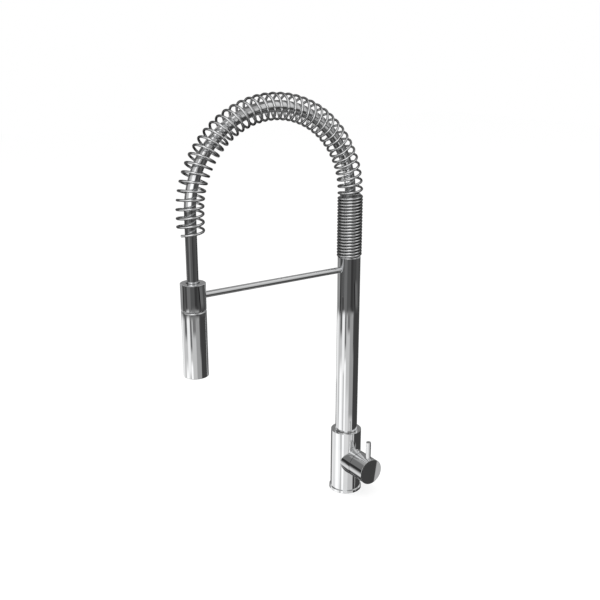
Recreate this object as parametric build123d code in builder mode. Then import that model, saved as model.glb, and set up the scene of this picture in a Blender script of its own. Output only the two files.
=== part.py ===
from build123d import *
import os
from math import asin, cos, degrees, pi, radians, sin, sqrt, tan

# Single-lever kitchen mixer with a spring spout and a pull-down spray, in millimetres.
# +Z is up and the origin is the centre of the base on the worktop. The spout reaches towards -Y,
# the handle stands out towards +X and the stop screw of the spout is at the back, towards +Y.

os.makedirs("parts", exist_ok=True)

# Fits and gaps
press_fit = 0.02
turning_fit = 0.08
loose_fit = 0.30
thread_fit = 0.10
lift_gap = 0.05

# Base, on the worktop
ring_d = 53.5
ring_h = 4.5
ring_edge = 0.4
deck_seal_w = 2.4
deck_seal_h = 1.6
inlet_thread_r = 4.5
inlet_depth = 13.0
inlet_shift = 2.5
inlet_spread = 0.5
stud_thread_r = 3.4
stud_depth = 15.0
stud_x = 9.0
insert_ring_drop = 5.8

# Body and its side boss
body_d = 50.0
body_wall = 4.5
body_edge = 0.3
junction_fillet = 1.0
handle_z = 56.0
cavity_cover = 14.4
swivel_cover = 6.4
swivel_depth = 27.0
cartridge_d = 35.0
nut_step = 0.9
boss_wall = 2.5

# Handle: the cap lifts about a pin inside the cartridge and turns about the boss
lift_angle = 25.0
lift_clearance = 1.25
pivot_inset = 8.0
swing_gap = 0.30
cap_length = 30.5
cap_wall = 2.0
cap_rim = 0.4
cap_end_wall = 3.0
cap_edge = 0.4
dome_depth = 5.0
dome_clearance = 0.8
hub_gap = 1.7
hub_r = 8.5
lever_d = 8.0
lever_inset = 8.0
lever_reach = 50.0
lever_free = 32.0
lever_edge = 0.5
lever_thread_r = 3.0
lever_pad_r = 6.5
set_screw_r = 2.5
set_screw_length = 6.0
set_screw_gap = 0.5
hex_depth = 2.5

# Cartridge, as a stack along the handle axis
cartridge_depth = 26.5
seal_squeeze = 0.1
housing_wall = 1.6
housing_floor = 3.0
disc_thickness = 3.5
disc_film = 0.05
disc_clearance = 0.5
chamber_wall = 3.0
carrier_thickness = 5.0
driver_flange = 4.35
driver_top_margin = 7.0
driver_wall = 0.75
slot_clearance = 0.4
pin_inset = 0.4
cover_flange = 6.0
cover_spigot = 3.4
nut_length = 8.0
nut_clearance = 1.0
nut_slot_w = 2.5
nut_slot_depth = 2.0
stem_r = 4.0
tail_r = 3.0
tail_neck_r = 1.9
tip_r = 2.6
tip_arm = 12.8
tip_to_tail = 3.3
tail_length = 3.5
square_af = 8.0
square_start = 1.0
square_margin = 1.5
socket_margin = 0.5
pivot_pin_r = 1.5
channel_r = 2.75
channel_step = 0.5
port_y = 8.0
inlet_port_drop = 6.0
outlet_port_rise = 8.0
port_seal_w = 1.3
port_seal_depth = 0.9

# Swivel of the spout in the top of the body
column_d = 36.0
column_wall = 1.5
column_gap = 0.10
slide_ring_w = 2.0
slide_ring_h = 2.5
slide_ring_proud = 0.25
spigot_step = 1.6
foot_plug = 18.0
waterway_r = 9.0
o_ring_r = 0.95
o_ring_pitch = 7.0
o_ring_rise = 4.0
foot_gap = 1.0
stop_screw_r = 2.5
stop_drop = 7.0
stop_groove_h = 4.4
stop_groove_depth = 2.1
stop_tip_r = 1.5
stop_tip_gap = 0.5
stop_sink = 1.2

# Column, spring seat and hose outlet
column_length = 293.15
head_plug = 34.5
head_rise = 99.5
head_bore_r = 6.5
head_wall = 2.5
head_edge = 0.6
hose_seat_rise = 24.5

# Arch of hose and spring
reach = 272.0
arch_rise = 98.0
hose_d = 16.5
hose_bore = 9.0
wire_d = 3.6
coil_d = 35.6
spring_drop = 27.5
loose_turns = 40
dense_turns = 19.65
dense_height = 94.3
start_angle = 30.0

# Hose ends
nipple_flange = 5.0
nipple_neck = 1.5
nipple_neck_r = 6.0
barb_length = 19.0
barb_wall = 1.2
nipple_thread = 12.0
ferrule_wall = 1.9
washer_h = 1.5

# Arm and docking collar
arm_d = 9.5
arm_drop = 19.0
arm_seat = 5.4
arm_socket = 2.2
arm_stub_r = 2.5
arm_stub = 2.8
collar_d = 36.0
collar_above = 20.0
collar_below = 18.8
collar_roof = 13.5
collar_edge = 0.8
seam_edge = 1.2
bush_wall = 1.3
bush_sink = 0.2
liner_wall = 1.3
liner_length = 20.0
liner_sink = 1.3
magnet_h = 3.3
magnet_step = 0.9

# Spray head
dock_gap = 0.4
spray_length = 97.8
spray_wall = 2.0
spray_roof = 4.0
spray_shoulder = 2.3
neck_wall = 1.75
neck_space = 0.7
neck_length = 22.1
dock_plate_h = 1.2
neck_block = 20.3
nipple_drop = 12.8
nipple_spigot_r = 5.6
nipple_spigot = 8.0
lower_flange = 3.2
clip_h = 1.5
clip_grip = 0.6
clip_mouth = 5.0
lower_ring_r = 0.5
core_flange = 4.0
core_r = 11.0
core_wall = 3.0
valve_length = 15.0
valve_rib = 1.2
valve_rib_h = 3.0
nozzle_recess = 1.5
nozzle_length = 16.0
nozzle_floor = 4.0
nozzle_wall = 2.4
face_thickness = 1.5
jet_count = 24
jet_r = 1.0
jet_proud = 0.6
jet_bore_r = 0.45
face_gap = 0.8
aerator_r = 8.4
aerator_length = 13.5
aerator_sink = 0.5
aerator_lip = 1.4
aerator_cup = 3.0
mesh_pitch = 2.6
mesh_hole = 1.7

# Places that follow from the sizes
body_r = body_d / 2
ring_r = ring_d / 2
cavity_r = body_r - body_wall
insert_r = cavity_r - thread_fit
cartridge_r = cartridge_d / 2
cartridge_bore_r = cartridge_r + thread_fit
nut_bore_r = cartridge_bore_r + nut_step
boss_r = nut_bore_r + boss_wall
insert_top = handle_z - cartridge_bore_r - cavity_cover
swivel_floor = handle_z + cartridge_bore_r + swivel_cover
body_top = swivel_floor + swivel_depth
pivot_x = body_r - pivot_inset
lift = radians(lift_angle)
pivot_to_rim = (pivot_inset + lift_clearance + boss_r * sin(lift)) / cos(lift)
seam_x = pivot_x + pivot_to_rim
cap_end_x = seam_x + cap_length
cap_bore_r = boss_r - cap_wall
rim_reach = sqrt(pivot_to_rim**2 + (boss_r - cap_rim) ** 2)
dome_r = rim_reach - swing_gap
lever_x = cap_end_x - lever_inset
seat_x = pivot_x - cartridge_depth
channel_x = seat_x - channel_r - channel_step
handle_axis = Axis((0, 0, handle_z), (1, 0, 0))
handle_plane = Plane(origin=(0, 0, handle_z), x_dir=(1, 0, 0), z_dir=(0, -1, 0))
column_r = column_d / 2
column_bore_r = column_r - column_wall
column_bottom = body_top + slide_ring_proud + column_gap
spigot_r = column_bore_r - press_fit - spigot_step
swivel_bore_r = spigot_r + turning_fit
seat_z = column_bottom + column_length
arm_z = seat_z - arm_drop
arch_z = seat_z + arch_rise
hose_seat_z = seat_z + hose_seat_rise
arch_r = reach / 2
hose_r = hose_d / 2
hose_bore_r = hose_bore / 2
wire_r = wire_d / 2
coil_r = coil_d / 2
head_r = coil_r - wire_r - loose_fit
collar_r = collar_d / 2
collar_top = arm_z + collar_above
collar_bottom = arm_z - collar_below
spray_top = collar_bottom - dock_gap
spray_bottom = spray_top - spray_length
ferrule_r = hose_r + press_fit + ferrule_wall
from_foot = (Align.CENTER, Align.CENTER, Align.MIN)


def round_z(radius, low, high, at=(0, 0), mode=Mode.ADD):
    """A round bar or hole that stands along Z at the point `at` of the XY plane."""
    with Locations((at[0], at[1], low)):
        Cylinder(radius, high - low, align=from_foot, mode=mode)


def round_x(radius, low, high, at=(0, 0), mode=Mode.ADD):
    """A round bar or hole along X, `at` being its Y and its height over the handle axis."""
    with Locations((low, at[0], handle_z + at[1])):
        Cylinder(radius, high - low, rotation=(0, 90, 0), align=from_foot, mode=mode)


def round_y(radius, low, high, at=(0, 0), mode=Mode.ADD):
    """A round bar or hole along Y, `at` being its X and Z."""
    with Locations((at[0], low, at[1])):
        Cylinder(radius, high - low, rotation=(-90, 0, 0), align=from_foot, mode=mode)


def tube_z(outer, inner, low, high, at=(0, 0)):
    """A plain ring or tube along Z."""
    round_z(outer, low, high, at)
    round_z(inner, low, high, at, Mode.SUBTRACT)


def tube_x(outer, inner, low, high, at=(0, 0)):
    """A plain ring or tube along the handle axis or beside it."""
    round_x(outer, low, high, at)
    round_x(inner, low, high, at, Mode.SUBTRACT)


def torus_z(major, minor, height, at=(0, 0)):
    """An O-ring about a vertical axis."""
    with Locations((at[0], at[1], height)):
        Torus(major, minor)


# Base: seal, trim ring and the brass insert that carries the inlets and the fixing stud
deck_seal_mid = (ring_r + insert_r) / 2

with BuildPart() as deck_seal:
    tube_z(deck_seal_mid + deck_seal_w / 2, deck_seal_mid - deck_seal_w / 2, 0, deck_seal_h)

with BuildPart() as base_ring:
    tube_z(ring_r, insert_r + thread_fit, 0, ring_h)
    rim = base_ring.edges().filter_by(GeomType.CIRCLE).group_by(Axis.Z)[-1].sort_by(SortBy.RADIUS)[-1]
    chamfer(rim, ring_edge)
    round_z(deck_seal_mid + deck_seal_w / 2 + thread_fit, 0, deck_seal_h, mode=Mode.SUBTRACT)
    tube_z(deck_seal_mid - deck_seal_w / 2 - thread_fit, insert_r + thread_fit, 0, deck_seal_h)

insert_ring_z = insert_top - insert_ring_drop

with BuildPart() as base_insert:
    round_z(insert_r, 0, insert_top)
    for side in (-1, 1):
        inlet_at = (channel_x + inlet_shift, side * (port_y + inlet_spread))
        round_z(inlet_thread_r, 0, inlet_depth, inlet_at, Mode.SUBTRACT)
        round_z(channel_r, inlet_depth, insert_top, (channel_x, side * port_y), Mode.SUBTRACT)
    round_z(stud_thread_r, 0, stud_depth, (stud_x, 0), Mode.SUBTRACT)
    with BuildSketch(Plane.XY.offset(insert_ring_z - o_ring_r - thread_fit)):
        Circle(insert_r)
        Circle(insert_r - 2 * o_ring_r, mode=Mode.SUBTRACT)
    extrude(amount=2 * (o_ring_r + thread_fit), mode=Mode.SUBTRACT)

with BuildPart() as insert_o_ring:
    torus_z(cavity_r - o_ring_r - press_fit, o_ring_r - press_fit, insert_ring_z)

# Body with the side boss, whose end is ground to a sphere about the pivot of the handle
boss_end_x = pivot_x + sqrt(dome_r**2 - boss_r**2)
boss_end_angle = degrees(asin(boss_r / dome_r))
cover_x = seat_x + seal_squeeze + housing_floor + 2 * disc_thickness + disc_film + carrier_thickness
cover_x = cover_x + loose_fit + driver_flange + loose_fit
housing_top_x = cover_x + cover_spigot
nut_x = housing_top_x + cover_flange + lift_gap
slide_ring_r = swivel_bore_r + slide_ring_w

with BuildPart() as body_shell:
    round_z(body_r, ring_h, body_top)
    top_rim = body_shell.edges().filter_by(GeomType.CIRCLE).group_by(Axis.Z)[-1]
    chamfer(top_rim, body_edge)
    with BuildSketch(handle_plane):
        with BuildLine():
            Polyline((pivot_x + dome_r, 0), (0, 0), (0, boss_r), (boss_end_x, boss_r))
            CenterArc((pivot_x, 0), dome_r, 0, boss_end_angle)
        make_face()
    revolve(axis=handle_axis)
    junction = body_shell.edges().filter_by(GeomType.BSPLINE)
    fillet(junction, junction_fillet)
    round_x(cartridge_bore_r, seat_x, pivot_x + dome_r, mode=Mode.SUBTRACT)
    round_x(nut_bore_r, nut_x, pivot_x + dome_r, mode=Mode.SUBTRACT)
    round_z(cavity_r, ring_h, insert_top, mode=Mode.SUBTRACT)
    round_z(swivel_bore_r, swivel_floor, body_top, mode=Mode.SUBTRACT)
    round_z(
        slide_ring_r + turning_fit,
        body_top + slide_ring_proud - slide_ring_h,
        body_top,
        mode=Mode.SUBTRACT,
    )
    for side in (-1, 1):
        round_z(channel_r, insert_top, handle_z - inlet_port_drop, (channel_x, side * port_y), Mode.SUBTRACT)
        round_x(channel_r, channel_x, seat_x, (side * port_y, -inlet_port_drop), Mode.SUBTRACT)
    round_z(channel_r, handle_z + outlet_port_rise, swivel_floor, (channel_x, 0), Mode.SUBTRACT)
    round_x(channel_r, channel_x, seat_x, (0, outlet_port_rise), Mode.SUBTRACT)
    round_y(stop_screw_r, 0, body_r, (0, body_top - stop_drop), Mode.SUBTRACT)

# Cartridge: housing with its port seals, fixed disc, sliding disc in its carrier, turning driver
port_places = [(-port_y, -inlet_port_drop), (port_y, -inlet_port_drop), (0, outlet_port_rise)]
housing_x = seat_x + seal_squeeze
housing_r = cartridge_r - seal_squeeze
housing_bore_r = housing_r - housing_wall

with BuildPart() as cartridge_housing:
    round_x(housing_r, housing_x, housing_top_x)
    round_x(housing_bore_r, housing_x + housing_floor, housing_top_x, mode=Mode.SUBTRACT)
    for place in port_places:
        round_x(channel_r, housing_x, housing_x + housing_floor, place, Mode.SUBTRACT)
        round_x(channel_r + port_seal_w, housing_x, housing_x + port_seal_depth, place, Mode.SUBTRACT)

with BuildPart() as cartridge_port_seals:
    for place in port_places:
        tube_x(
            channel_r + port_seal_w - press_fit,
            channel_r + press_fit,
            seat_x,
            housing_x + port_seal_depth,
            place,
        )

fixed_disc_x = housing_x + housing_floor

with BuildPart() as ceramic_disc_fixed:
    round_x(housing_bore_r - turning_fit, fixed_disc_x, fixed_disc_x + disc_thickness)
    for place in port_places:
        round_x(channel_r, fixed_disc_x, fixed_disc_x + disc_thickness, place, Mode.SUBTRACT)

disc_travel = tip_arm * sin(lift)
sliding_disc_x = fixed_disc_x + disc_thickness + disc_film
sliding_disc_r = housing_bore_r - disc_travel / 2 - disc_clearance
sliding_disc_z = -disc_travel / 2
chamber_r = sliding_disc_r - chamber_wall

with BuildPart() as ceramic_disc_sliding:
    round_x(sliding_disc_r, sliding_disc_x, sliding_disc_x + disc_thickness, (0, sliding_disc_z))
    round_x(
        chamber_r,
        sliding_disc_x,
        sliding_disc_x + disc_thickness / 2,
        (0, sliding_disc_z),
        Mode.SUBTRACT,
    )

carrier_x = sliding_disc_x + disc_thickness
carrier_top_x = carrier_x + carrier_thickness
tip_x = pivot_x - tip_arm

with BuildPart() as disc_carrier:
    round_x(sliding_disc_r, carrier_x, carrier_top_x, (0, sliding_disc_z))
    round_x(tip_r + loose_fit + lift_gap, tip_x - tip_r - loose_fit, carrier_top_x, mode=Mode.SUBTRACT)

driver_x = carrier_top_x + loose_fit
driver_top_x = pivot_x + driver_top_margin
slot_half = (pivot_x - driver_x) * tan(lift) + tail_r / cos(lift) + slot_clearance
driver_hub_r = sqrt(slot_half**2 + (stem_r + loose_fit) ** 2) + driver_wall
driver_slot = Rectangle(2 * (stem_r + loose_fit), 2 * slot_half, mode=Mode.PRIVATE)

with BuildPart() as cartridge_driver:
    round_x(housing_bore_r - loose_fit, driver_x, driver_x + driver_flange)
    round_x(driver_hub_r, driver_x, driver_top_x)
    with BuildSketch(Plane.YZ.offset(driver_x)):
        with Locations((0, handle_z)):
            add(driver_slot)
    extrude(amount=driver_top_x - driver_x, mode=Mode.SUBTRACT)
    round_y(pivot_pin_r, -driver_hub_r, driver_hub_r, (pivot_x, handle_z), Mode.SUBTRACT)

with BuildPart() as pivot_pin:
    round_y(pivot_pin_r - press_fit, pin_inset - driver_hub_r, driver_hub_r - pin_inset, (pivot_x, handle_z))

with BuildPart() as cartridge_cover:
    round_x(housing_r, housing_top_x, housing_top_x + cover_flange)
    round_x(housing_bore_r - thread_fit, cover_x, housing_top_x)
    round_x(driver_hub_r + loose_fit, cover_x, housing_top_x + cover_flange, mode=Mode.SUBTRACT)

nut_r = nut_bore_r - thread_fit
nut_top_x = nut_x + nut_length

with BuildPart() as cartridge_nut:
    tube_x(nut_r, driver_hub_r + nut_clearance, nut_x, nut_top_x)
    with BuildSketch(Plane.YZ.offset(nut_top_x - nut_slot_depth)):
        with Locations((0, handle_z)):
            Rectangle(nut_slot_w, 2 * nut_r)
            Rectangle(2 * nut_r, nut_slot_w)
    extrude(amount=nut_slot_depth, mode=Mode.SUBTRACT)

# Dome ring that fills the mouth of the boss behind the lifted cap
dome_bore_r = (dome_r - dome_depth) * tan(lift) + stem_r / cos(lift) + dome_clearance

with BuildPart() as dome_ring:
    with BuildSketch(handle_plane):
        with BuildLine():
            Polyline(
                (pivot_x + sqrt(dome_r**2 - nut_r**2), nut_r),
                (nut_top_x + lift_gap, nut_r),
                (nut_top_x + lift_gap, dome_bore_r),
                (pivot_x + sqrt(dome_r**2 - dome_bore_r**2), dome_bore_r),
            )
            CenterArc(
                (pivot_x, 0),
                dome_r,
                degrees(asin(dome_bore_r / dome_r)),
                degrees(asin(nut_r / dome_r) - asin(dome_bore_r / dome_r)),
            )
        make_face()
    revolve(axis=handle_axis)

# Handle: stem, cap, lever and the screw that clamps the cap on the stem
hub_x = pivot_x + rim_reach + hub_gap
stem_end_x = cap_end_x - cap_end_wall - square_margin

with BuildPart() as cartridge_stem:
    with Locations((tip_x, 0, handle_z)):
        Sphere(tip_r)
    round_x(tail_neck_r, tip_x, pivot_x)
    round_x(tail_r, tip_x + tip_to_tail, pivot_x)
    round_x(stem_r, tip_x + tip_to_tail + tail_length, hub_x + square_start)
    with BuildSketch(Plane.YZ.offset(hub_x + square_start)):
        with Locations((0, handle_z)):
            Rectangle(square_af, square_af)
    extrude(amount=stem_end_x - hub_x - square_start)
    round_y(pivot_pin_r + turning_fit / 2, -stem_r, stem_r, (pivot_x, handle_z), Mode.SUBTRACT)

socket_af = square_af + 2 * thread_fit
pad_foot = lever_reach - lever_free
screw_low = handle_z + socket_af / 2
screw_high = screw_low + set_screw_length

with BuildPart() as handle_cap:
    round_x(boss_r, seam_x, cap_end_x)
    end_rims = handle_cap.edges().filter_by(GeomType.CIRCLE).group_by(Axis.X)
    chamfer(end_rims[-1], cap_edge)
    round_x(cap_bore_r, seam_x, cap_end_x - cap_end_wall, mode=Mode.SUBTRACT)
    rim_edge = handle_cap.edges().filter_by(GeomType.CIRCLE).group_by(Axis.X)[0].sort_by(SortBy.RADIUS)[0]
    chamfer(rim_edge, cap_wall - cap_rim)
    round_x(hub_r, hub_x, cap_end_x - cap_end_wall)
    round_z(lever_pad_r, handle_z, handle_z + (cap_bore_r + boss_r) / 2, (lever_x, 0))
    with BuildSketch(Plane.YZ.offset(hub_x)):
        with Locations((0, handle_z)):
            Rectangle(socket_af, socket_af)
    extrude(amount=stem_end_x + socket_margin - hub_x, mode=Mode.SUBTRACT)
    round_z(set_screw_r, handle_z, handle_z + boss_r, (lever_x, 0), Mode.SUBTRACT)
    round_z(lever_thread_r, screw_high + set_screw_gap, handle_z + boss_r, (lever_x, 0), Mode.SUBTRACT)
    round_z(lever_d / 2 + press_fit, handle_z + pad_foot, handle_z + boss_r, (lever_x, 0), Mode.SUBTRACT)

with BuildPart() as lever_pin:
    round_z(lever_d / 2, handle_z + pad_foot, handle_z + lever_reach, (lever_x, 0))
    lever_rim = lever_pin.edges().filter_by(GeomType.CIRCLE).group_by(Axis.Z)[-1]
    chamfer(lever_rim, lever_edge)
    round_z(lever_thread_r - press_fit, screw_high + 2 * set_screw_gap, handle_z + pad_foot, (lever_x, 0))

with BuildPart() as handle_set_screw:
    round_z(set_screw_r - press_fit, screw_low - thread_fit, screw_high, (lever_x, 0))
    with BuildSketch(Plane.XY.offset(screw_high - hex_depth)):
        with Locations((lever_x, 0)):
            RegularPolygon(set_screw_r / 2, 6, major_radius=False)
    extrude(amount=hex_depth, mode=Mode.SUBTRACT)

# Swivel: slide ring under the column, column foot with its O-rings, stop screw
with BuildPart() as swivel_slide_ring:
    tube_z(
        slide_ring_r,
        slide_ring_r - slide_ring_w,
        body_top + slide_ring_proud - slide_ring_h,
        body_top + slide_ring_proud,
    )

foot_bottom = swivel_floor + foot_gap
stop_z = body_top - stop_drop
o_ring_low = foot_bottom + o_ring_rise
o_ring_heights = [o_ring_low, o_ring_low + o_ring_pitch]
o_ring_mid_r = swivel_bore_r - lift_gap - o_ring_r
groove_r = o_ring_mid_r - o_ring_r - lift_gap

with BuildPart() as column_foot:
    round_z(spigot_r, foot_bottom, column_bottom)
    round_z(column_bore_r - press_fit, column_bottom, column_bottom + foot_plug)
    round_z(waterway_r, foot_bottom, column_bottom + foot_plug, mode=Mode.SUBTRACT)
    for height in o_ring_heights:
        with BuildSketch(Plane.XY.offset(height - o_ring_r - lift_gap)):
            Circle(spigot_r)
            Circle(groove_r, mode=Mode.SUBTRACT)
        extrude(amount=2 * (o_ring_r + lift_gap), mode=Mode.SUBTRACT)
    with BuildSketch(Plane.XY.offset(stop_z - stop_groove_h / 2)):
        Circle(spigot_r)
        Circle(spigot_r - stop_groove_depth, mode=Mode.SUBTRACT)
    extrude(amount=stop_groove_h, mode=Mode.SUBTRACT)

with BuildPart() as swivel_o_rings:
    for height in o_ring_heights:
        torus_z(o_ring_mid_r, o_ring_r, height)

with BuildPart() as spout_stop_screw:
    round_y(stop_screw_r - press_fit, swivel_bore_r + loose_fit, body_r - stop_sink, (0, stop_z))
    round_y(stop_tip_r, spigot_r - stop_groove_depth + stop_tip_gap, swivel_bore_r + loose_fit, (0, stop_z))
    with BuildSketch(Plane.ZX.offset(body_r - stop_sink - hex_depth)):
        with Locations((stop_z, 0)):
            RegularPolygon(stop_screw_r / 2, 6, major_radius=False)
    extrude(amount=hex_depth, mode=Mode.SUBTRACT)

# Column tube with the hole for the arm, and the head that carries the spring and the hose
arm_r = arm_d / 2
arm_inner_y = -(column_bore_r - arm_seat)

with BuildPart() as column_tube:
    tube_z(column_r, column_bore_r, column_bottom, seat_z)
    round_y(arm_r + press_fit, -column_r, 0, (0, arm_z), Mode.SUBTRACT)

with BuildPart() as column_head:
    round_z(column_bore_r - press_fit, seat_z - head_plug, seat_z)
    round_z(head_r, seat_z, seat_z + head_rise)
    head_rim = column_head.edges().filter_by(GeomType.CIRCLE).group_by(Axis.Z)[-1]
    chamfer(head_rim, head_edge)
    round_z(head_bore_r, seat_z - head_plug, hose_seat_z, mode=Mode.SUBTRACT)
    round_z(head_r - head_wall, hose_seat_z, seat_z + head_rise, mode=Mode.SUBTRACT)
    round_y(arm_r + press_fit, -column_r, arm_inner_y, (0, arm_z), Mode.SUBTRACT)
    round_y(arm_stub_r, arm_inner_y, arm_inner_y + arm_stub, (0, arm_z), Mode.SUBTRACT)

# Arm between the column and the docking collar
arm_outer_y = -(reach - collar_r + arm_socket)

with BuildPart() as support_arm:
    round_y(arm_r, arm_outer_y, arm_inner_y, (0, arm_z))
    round_y(arm_stub_r - press_fit, arm_inner_y, arm_inner_y + arm_stub - loose_fit, (0, arm_z))

# Docking collar: the hose runs through its bush and the neck of the spray head seats in its liner
spray_at = (0, -reach)
neck_bore_r = ferrule_r + neck_space
neck_r = neck_bore_r + neck_wall
liner_bore_r = neck_r + loose_fit
dock_bore_r = liner_bore_r + liner_wall + press_fit
bush_bore_r = hose_r + loose_fit
bush_hole_r = bush_bore_r + bush_wall + press_fit
roof_z = collar_top - collar_roof
liner_low = collar_bottom + liner_sink

with BuildPart() as docking_collar:
    round_z(collar_r, collar_bottom, collar_top, spray_at)
    collar_rims = docking_collar.edges().filter_by(GeomType.CIRCLE).group_by(Axis.Z)
    chamfer(collar_rims[-1], collar_edge)
    chamfer(collar_rims[0], seam_edge)
    round_z(dock_bore_r, collar_bottom, roof_z, spray_at, Mode.SUBTRACT)
    round_z(bush_hole_r, roof_z, collar_top, spray_at, Mode.SUBTRACT)
    round_y(arm_r + press_fit, arm_outer_y, 1 - reach + collar_r, (0, arm_z), Mode.SUBTRACT)

with BuildPart() as collar_bush:
    tube_z(bush_hole_r - press_fit, bush_bore_r, roof_z, collar_top - bush_sink, spray_at)

with BuildPart() as collar_liner:
    tube_z(dock_bore_r - press_fit, liner_bore_r, liner_low, liner_low + liner_length, spray_at)

with BuildPart() as dock_magnet:
    tube_z(dock_bore_r - press_fit, bush_bore_r + magnet_step, roof_z - magnet_h, roof_z, spray_at)

# Hose: one run up out of the column, over the arch and down into the neck of the spray head
upper_neck_z = hose_seat_z + washer_h + nipple_flange + nipple_neck
neck_top = spray_top + neck_length
lower_neck_z = spray_top - nipple_drop + nipple_neck + clip_h

with BuildPart() as hose:
    with BuildLine(Plane.YZ):
        Line((0, upper_neck_z), (0, arch_z))
        CenterArc((-arch_r, arch_z), arch_r, 0, 180)
        Line((-reach, arch_z), (-reach, lower_neck_z))
    with BuildSketch(Plane.XY.offset(upper_neck_z)):
        Circle(hose_r)
        Circle(hose_bore_r, mode=Mode.SUBTRACT)
    sweep()

with BuildPart() as hose_washer:
    tube_z(ferrule_r, head_bore_r + thread_fit, hose_seat_z, hose_seat_z + washer_h)

with BuildPart() as hose_nipple_upper:
    round_z(head_bore_r - press_fit, hose_seat_z - nipple_thread, hose_seat_z + washer_h)
    with BuildSketch(Plane.XY.offset(hose_seat_z + washer_h)):
        RegularPolygon(ferrule_r, 6)
    extrude(amount=nipple_flange)
    round_z(nipple_neck_r, upper_neck_z - nipple_neck, upper_neck_z)
    round_z(hose_bore_r - press_fit, upper_neck_z, upper_neck_z + barb_length)
    round_z(
        hose_bore_r - barb_wall,
        hose_seat_z - nipple_thread,
        upper_neck_z + barb_length,
        mode=Mode.SUBTRACT,
    )

with BuildPart() as hose_ferrule_upper:
    tube_z(ferrule_r, hose_r + press_fit, upper_neck_z, upper_neck_z + barb_length)

# Lower hose end, which turns freely in the neck of the spray head
lower_flange_top = spray_top - nipple_drop
lower_flange_low = lower_flange_top - lower_flange
spigot_low = lower_flange_low - nipple_spigot
lower_ring_z = lower_flange_low - nipple_spigot / 2

with BuildPart() as hose_nipple_lower:
    round_z(nipple_spigot_r, spigot_low, lower_flange_low, spray_at)
    round_z(ferrule_r - neck_space, lower_flange_low, lower_flange_top, spray_at)
    round_z(nipple_neck_r, lower_flange_top, lower_neck_z, spray_at)
    round_z(hose_bore_r - press_fit, lower_neck_z, lower_neck_z + barb_length, spray_at)
    round_z(hose_bore_r - barb_wall, spigot_low, lower_neck_z + barb_length, spray_at, Mode.SUBTRACT)
    with BuildSketch(Plane.XY.offset(lower_ring_z - lower_ring_r - lift_gap)):
        with Locations(spray_at):
            Circle(nipple_spigot_r)
            Circle(nipple_spigot_r - 2 * lower_ring_r, mode=Mode.SUBTRACT)
    extrude(amount=2 * (lower_ring_r + lift_gap), mode=Mode.SUBTRACT)

with BuildPart() as hose_ferrule_lower:
    tube_z(ferrule_r, hose_r + press_fit, lower_neck_z, lower_neck_z + barb_length, spray_at)

# Spray head: neck block, retaining clip, dock plate and chromed shell
spray_r = collar_r
spray_bore_r = spray_r - spray_wall
block_r = spray_bore_r - thread_fit
roof_low = spray_top - spray_roof
block_low = roof_low - neck_block
clip_low = lower_flange_top + loose_fit
neck_seat_z = lower_flange_low - loose_fit
spigot_bore_r = nipple_spigot_r + turning_fit / 2
clip_r = neck_bore_r + clip_grip

with BuildPart() as nipple_o_ring:
    torus_z(spigot_bore_r - lift_gap - lower_ring_r, lower_ring_r - press_fit, lower_ring_z, spray_at)

with BuildPart() as spray_neck:
    round_z(block_r, block_low, roof_low, spray_at)
    round_z(neck_r, roof_low, neck_top - dock_plate_h, spray_at)
    round_z(neck_bore_r, neck_seat_z, neck_top, spray_at, Mode.SUBTRACT)
    round_z(clip_r, clip_low - lift_gap, clip_low + clip_h + lift_gap, spray_at, Mode.SUBTRACT)
    round_z(spigot_bore_r, block_low, neck_seat_z, spray_at, Mode.SUBTRACT)

with BuildPart() as neck_clip:
    tube_z(clip_r - press_fit, nipple_neck_r + loose_fit, clip_low, clip_low + clip_h, spray_at)
    with BuildSketch(Plane.XY.offset(clip_low)):
        with Locations((0, -reach - nipple_neck_r)):
            Rectangle(clip_mouth, 2 * clip_r - nipple_neck_r)
    extrude(amount=clip_h, mode=Mode.SUBTRACT)

with BuildPart() as dock_plate:
    tube_z(neck_r, bush_bore_r + magnet_step, neck_top - dock_plate_h, neck_top, spray_at)

with BuildPart() as spray_shell:
    round_z(spray_r, spray_bottom, spray_top, spray_at)
    spray_rims = spray_shell.edges().filter_by(GeomType.CIRCLE).group_by(Axis.Z)
    chamfer(spray_rims[-1], spray_shoulder)
    chamfer(spray_rims[0], collar_edge)
    round_z(spray_bore_r, spray_bottom, roof_low, spray_at, Mode.SUBTRACT)
    round_z(neck_r + press_fit, roof_low, spray_top, spray_at, Mode.SUBTRACT)

# Inside the spray head: waterway with the check valve, nozzle with the rubber jets and the aerator
core_bore_r = core_r - core_wall
nozzle_low = spray_bottom + nozzle_recess
nozzle_high = nozzle_low + nozzle_length
jet_circle = (aerator_r + spray_bore_r - nozzle_wall) / 2

with BuildPart() as spray_core:
    round_z(core_r, nozzle_high, block_low, spray_at)
    round_z(block_r, block_low - core_flange, block_low, spray_at)
    round_z(block_r, nozzle_high, nozzle_high + core_flange, spray_at)
    round_z(core_bore_r, nozzle_high, block_low, spray_at, Mode.SUBTRACT)

with BuildPart() as check_valve:
    tube_z(core_bore_r - press_fit, core_bore_r / 2, block_low - valve_length, block_low, spray_at)
    with BuildSketch(Plane.XY.offset(block_low - valve_length)):
        with Locations(spray_at):
            Rectangle(core_bore_r * 1.5, valve_rib)
            Rectangle(valve_rib, core_bore_r * 1.5)
    extrude(amount=valve_rib_h)

with BuildPart() as spray_nozzle:
    round_z(block_r, nozzle_low, nozzle_high, spray_at)
    round_z(block_r - nozzle_wall, nozzle_low + nozzle_floor, nozzle_high, spray_at, Mode.SUBTRACT)
    round_z(aerator_r + thread_fit, nozzle_low, nozzle_high, spray_at, Mode.SUBTRACT)
    with BuildSketch(Plane.XY.offset(nozzle_low)):
        with Locations(spray_at):
            with PolarLocations(jet_circle, jet_count):
                Circle(jet_r + lift_gap)
    extrude(amount=nozzle_floor, mode=Mode.SUBTRACT)

face_low = nozzle_low + nozzle_floor

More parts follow.
